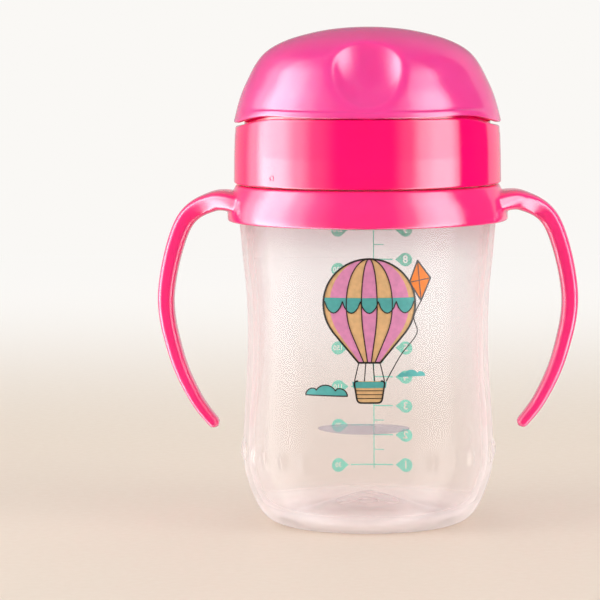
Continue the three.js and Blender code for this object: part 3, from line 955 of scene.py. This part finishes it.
def front_picture():
    """A generic balloon, kite and clouds in the colours of the printed front."""
    basket = [(PICTURE_X - 4.3, BASKET_TOP), (PICTURE_X + 4.3, BASKET_TOP),
              (PICTURE_X + 3.3, BASKET_BOTTOM), (PICTURE_X - 3.3, BASKET_BOTTOM)]
    basket = rounded(basket + [basket[0], basket[1]], 1.1)[1:-1]
    stripes = gore(-0.86, -0.5) + gore(-0.17, 0.17) + gore(0.5, 0.86)
    cloud = puff(-11.6, 39.4, 2.9)
    banner = [(PICTURE_X - 4.7, BASKET_TOP - 0.2), (PICTURE_X + 4.7, BASKET_TOP - 0.2),
              (PICTURE_X + 4.5, BASKET_TOP - 1.9), (PICTURE_X - 4.5, BASKET_TOP - 1.9)]
    teal_shapes = scallops(65.4, 5) + [cloud, banner, puff(11.8, 44.6, 1.9)]

    lines = []
    for share in (-1, -0.5, -0.17, 0.17, 0.5, 1):
        lines += stroke(seam(share), 0.5 if abs(share) == 1 else 0.28)
    lines += stroke([(PICTURE_X - SKIRT_HALF, SKIRT), (PICTURE_X + SKIRT_HALF, SKIRT)], 0.5)
    for share in (-1, -0.34, 0.34, 1):
        lines += stroke([(PICTURE_X + 2.9 * share, SKIRT), (PICTURE_X + 4.1 * share, BASKET_TOP)], 0.3)
    lines += stroke(basket, 0.45)
    for row in (1, 2, 3):
        height = BASKET_TOP - 1.6 - row * 1.05
        lines += stroke([(PICTURE_X - 3.7, height), (PICTURE_X + 3.7, height)], 0.2)
    for arc in scallops(65.4, 5):
        lines += stroke(arc[1:-1], 0.3)
    lines += stroke(cloud + cloud[:1], 0.34)
    lines += stroke(KITE + KITE[:1], 0.4)
    lines += stroke([KITE[0], KITE[2]], 0.25) + stroke([KITE[1], KITE[3]], 0.25)
    string = through([KITE[2], (12.6, 61.0), (13.4, 56.4), (9.0, 50.6), (5.0, BASKET_TOP)], 8)
    lines += stroke(string, 0.3)
    for tint, colour, cover, shapes, layer in (
            ("tan", (239, 200, 146), 1.0, gore(-1, 1) + [basket[:-1]], 0),
            ("pink", (242, 160, 205), 1.0, stripes, 1),
            ("teal", (95, 188, 184), 1.0, teal_shapes, 2),
            ("orange", (246, 138, 32), 1.0, [KITE], 2),
            ("outline", (42, 37, 33), 1.0, lines, 3),
            ("shadow", (176, 172, 190), 0.32, [ellipse(-1.2, 30.4, 12.6, 1.5)], 0)):
        piece = printed(f"print_{tint}_front", shapes, layer)
        add_piece(piece, "cup", ink("ink_" + tint, srgb(*colour), cover))


# ---- volume scale on the back ----
OUNCE_X, MILLILITRE_X = 11.0, -8.7
OUNCE_LOW, OUNCE_STEP = 11.2, 8.62


def teardrop(x, z, towards):
    """A round dot of ink with a point towards the middle line."""
    outline = []
    for step in range(25):
        angle = math.radians(35 + 290 * step / 24)
        outline.append((x + towards * 1.95 * math.cos(angle), z + 1.95 * math.sin(angle)))
    return outline + [(x + towards * 3.0, z)]


def digits(text, x, z, size):
    """Polygons of plain numerals, mirrored so that they read from behind the cup."""
    curve = bpy.data.curves.new("numerals", "FONT")
    curve.body = text
    curve.size = size
    curve.align_x, curve.align_y = "CENTER", "CENTER"
    curve.resolution_u = 3
    curve.offset = 0.02 * size
    writing = in_scene("numerals", curve)
    bpy.context.view_layer.update()
    mesh = evaluated_mesh(writing)
    bpy.data.objects.remove(writing)
    corners = [(x - vertex.co.x, z + vertex.co.y) for vertex in mesh.vertices]
    return [[corners[index] for index in face.vertices] for face in mesh.polygons]


def back_scale():
    """Ounces and millilitres in mint, with the numerals left unprinted in round dots."""
    mint = ink("ink_mint", srgb(146, 250, 232), 0.8, 0.6)
    drops, numerals, ticks = [], [], []
    for ounce in range(1, 10):
        height = OUNCE_LOW + OUNCE_STEP * (ounce - 1)
        drops.append(teardrop(OUNCE_X, height, -1))
        numerals += digits(str(ounce), OUNCE_X, height, 3.0)
        ticks += stroke([(1.7, height), (7.2, height)], 0.35)
        if ounce < 9:
            middle = height + OUNCE_STEP / 2
            ticks += stroke([(1.7, middle), (4.6, middle)], 0.25)
    for amount in range(30, 271, 40):
        height = OUNCE_LOW + (amount - 30) * (OUNCE_STEP * 8 / 240)
        drops.append(teardrop(MILLILITRE_X, height, 1))
        numerals += digits(str(amount), MILLILITRE_X, height, 1.9)
        ticks += stroke([(1.7, height), (-5.0, height)], 0.35)
    ticks += stroke([(1.7, OUNCE_LOW - 1), (1.7, OUNCE_LOW + OUNCE_STEP * 8 + 1)], 0.3)
    unprinted = printed("numerals", numerals, -0.25, side=1, thick=3 * INK)
    dots = combine(printed("scale_drops", drops, 0, side=1), unprinted, "DIFFERENCE")
    add_piece(dots, "cup", mint)
    add_piece(printed("scale_ticks", ticks, 0, side=1), "cup", mint)


# ---- assembly ----
LID_PINK = moulded_plastic(
    "lid_pink_plastic", srgb(255, 74, 162), srgb(254, 64, 154), 0.2, 0.6, 0.14, 0.35)
BAND_MAGENTA = moulded_plastic(
    "band_magenta_plastic", srgb(254, 0, 114), srgb(248, 0, 106), 0.1, 0.25, 0.0, 0.15)
HANDLE_PINK = moulded_plastic(
    "handle_pink_plastic", srgb(255, 48, 134), srgb(250, 38, 122), 0.18, 0.5, 0.0, 0.3)
CLEAR = clear_plastic("cup_clear_plastic")
FROSTED = silicone("frosted_silicone", srgb(240, 236, 232))

add_piece(cup_body(), "cup", CLEAR, ["cup_body"])
add_piece(handle_ring(), "cup", HANDLE_PINK, ["handle_ring"])
add_piece(collar_band(), "collar", BAND_MAGENTA, ["screw_collar"])
for collar_part in (rear_hood(), gate_mark(), parting_line("parting_line", -0.3, 0.05),
                    parting_line("weld_line", 5.8, 0.02), lug(1), lug(-1)):
    add_piece(collar_part, "collar", BAND_MAGENTA)
add_piece(visor_lid(), "lid", LID_PINK, ["visor_lid"])
add_piece(soft_spout(), "collar", FROSTED, ["soft_spout"])

front_picture()
back_scale()

for hidden, hidden_slot in (("spout_valve", "valve"), ("vent_valve", "valve"), ("neck_seal", "seal")):
    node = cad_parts[hidden]
    node.data.materials.clear()
    node.data.materials.append(FROSTED)


# ---- stage, light and camera ----
# What glossy surfaces reflect, by azimuth from the front in degrees: [azimuth, side light, rear].
REFLECTED = [(-180, 0, 1), (-150, 0, 1), (-132, 0.02, 0.6), (-114, 0.25, 0), (-98, 1, 0), (-80, 1, 0),
             (-62, 0.45, 0), (-46, 0.12, 0), (-24, 0.01, 0), (20, 0.01, 0), (36, 0.15, 0), (50, 0.65, 0),
             (62, 0.85, 0), (76, 0.8, 0), (84, 0.4, 0), (88, 0, 0), (126, 0, 0), (130, 0.03, 1), (180, 0, 1)]
SIDE_LIGHT, REAR_LIGHT = 12.0, 0.5


def studio_reflection(graph, direction):
    """Brightness of the studio in a direction: tall soft lights at both sides, dark in front."""
    axes = graph.axes(direction)
    azimuth = graph.maths("ARCTAN2", axes["X"], graph.maths("MULTIPLY", axes["Y"], -1.0))
    turn = graph.maths("MULTIPLY", azimuth, 1 / (2 * math.pi))
    around = graph.node("ValToRGB", {"Fac": graph.maths("ADD", turn, 0.5)})["Color"]
    ramp = around.node.color_ramp
    ramp.interpolation = "EASE"
    while len(ramp.elements) < len(REFLECTED):
        ramp.elements.new(0.5)
    for stop, (degrees, side, rear) in zip(ramp.elements, REFLECTED):
        stop.position = (degrees + 180) / 360
        stop.color = (side, rear, 0, 1)
    shares = graph.node("SeparateColor", {"Color": around})
    side_fade = graph.graded(axes["Z"], 0.5, 0.88, SIDE_LIGHT, 0.5)
    rear_fade = graph.graded(axes["Z"], 0.04, 0.22, REAR_LIGHT, 0.2)
    side = graph.maths("MULTIPLY", shares["Red"], side_fade)
    rear = graph.maths("MULTIPLY", shares["Green"], rear_fade)
    return graph.maths("ADD", graph.maths("ADD", side, rear), 0.06)


BACKDROP = srgb(250, 248, 245)


def floor_material():
    """Pale warm floor that brightens into the backdrop; in reflections it is part of the studio."""
    graph = Graph(bpy.data.materials.new("pale_floor"))
    place = graph.place()
    far = graph.graded(graph.axes(place)["Y"], 0.15, 0.95, 0.0, 1.0)
    near_floor = graph.node("BsdfPrincipled", {
        "Base Color": graph.tone(far, srgb(220, 206, 190), srgb(246, 244, 240)),
        "Roughness": graph.ranged(graph.noise(400), 0.45, 0.6)})["BSDF"]
    even = graph.node("Emission", {"Color": BACKDROP})["Emission"]
    ray = graph.node("LightPath")
    reach = graph.node("VectorMath", {0: place}, operation="LENGTH")["Value"]
    around = graph.graded(reach, 0.25, 1.1, 0.0, 1.0)
    around = graph.maths("MULTIPLY", around, ray["Is Camera Ray"])
    lit = graph.blend(graph.maths("MAXIMUM", far, around), near_floor, even)
    incoming = graph.node("NewGeometry")["Incoming"]
    onward = graph.node("VectorMath", {0: incoming, "Scale": -1.0}, operation="SCALE")["Vector"]
    mirrored = graph.node("Emission", {"Strength": studio_reflection(graph, onward)})["Emission"]
    return graph.finish(graph.blend(ray["Is Glossy Ray"], lit, mirrored))


def floor_and_backdrop():
    """A pale floor that sweeps up behind the object in one smooth curve."""
    bm = bmesh.new()
    profile = [(-9.0, 0.0), (1.6, 0.0)]
    for step in range(1, 17):
        angle = math.pi / 2 * step / 16
        profile.append((1.6 + 1.2 * math.sin(angle), 1.2 * (1 - math.cos(angle))))
    profile.append((2.8, 4.0))
    rows = [[bm.verts.new((x, y, z)) for x in (-9.0, 9.0)] for y, z in profile]
    for lower, upper in zip(rows, rows[1:]):
        bm.faces.new([lower[0], lower[1], upper[1], upper[0]])
    for face in bm.faces:
        face.smooth = True
    sweep = new_object("stage_sweep", bm)
    sweep.data.materials.append(floor_material())


def soft_light(name, place, width, height, watts):
    """A rectangular lamp aimed at the cup's middle, left out of reflections."""
    data = bpy.data.lights.new(name, "AREA")
    data.shape = "RECTANGLE"
    data.size, data.size_y = width, height
    data.energy = watts
    light = in_scene(name, data)
    light.location = place
    aim = Vector((0, 0, 0.08)) - Vector(place)
    light.rotation_euler = aim.to_track_quat("-Z", "Y").to_euler()
    light.visible_glossy = False


def camera():
    """A long lens a metre in front, a little above the cup and looking down past it."""
    data = bpy.data.cameras.new("camera")
    data.sensor_width = 36
    data.lens = 211.8
    data.clip_start = 0.05
    viewer = in_scene("camera", data)
    viewer.location = (0, -0.994, 0.1534)
    down, aside, roll = math.radians(5.207), math.radians(1.105), math.radians(-0.26)
    turn = Matrix.Rotation(aside, 3, "Z") @ Matrix.Rotation(math.pi / 2 - down, 3, "X")
    viewer.rotation_euler = (turn @ Matrix.Rotation(roll, 3, "Z")).to_euler()
    bpy.context.scene.camera = viewer


def studio_world():
    """Soft light all round, the studio in reflections, and an even backdrop for the camera."""
    graph = Graph(bpy.data.worlds.new("studio"), "OutputWorld")
    soft = graph.node("Background", {"Color": srgb(250, 249, 250), "Strength": 0.66})["Background"]
    seen = graph.node("Background", {"Color": BACKDROP})["Background"]
    brightness = studio_reflection(graph, graph.node("TexCoord")["Generated"])
    mirrored = graph.node("Background", {"Strength": brightness})["Background"]
    ray = graph.node("LightPath")
    lit = graph.blend(ray["Is Camera Ray"], soft, seen)
    bpy.context.scene.world = graph.finish(graph.blend(ray["Is Glossy Ray"], lit, mirrored))


def light_the_stage():
    soft_light("left_window", (-0.75, -0.35, 0.3), 0.5, 0.9, 5.0)
    soft_light("right_window", (0.72, -0.4, 0.3), 0.4, 0.8, 3.6)
    soft_light("overhead", (0.0, -0.2, 1.1), 1.2, 1.2, 2.2)
    soft_light("back", (0.0, 0.9, 0.45), 1.6, 0.5, 3.2)
    studio_world()
    bpy.context.scene.cycles.transparent_max_bounces = 24
    bpy.context.scene.view_settings.view_transform = "Standard"


floor_and_backdrop()
light_the_stage()
camera()
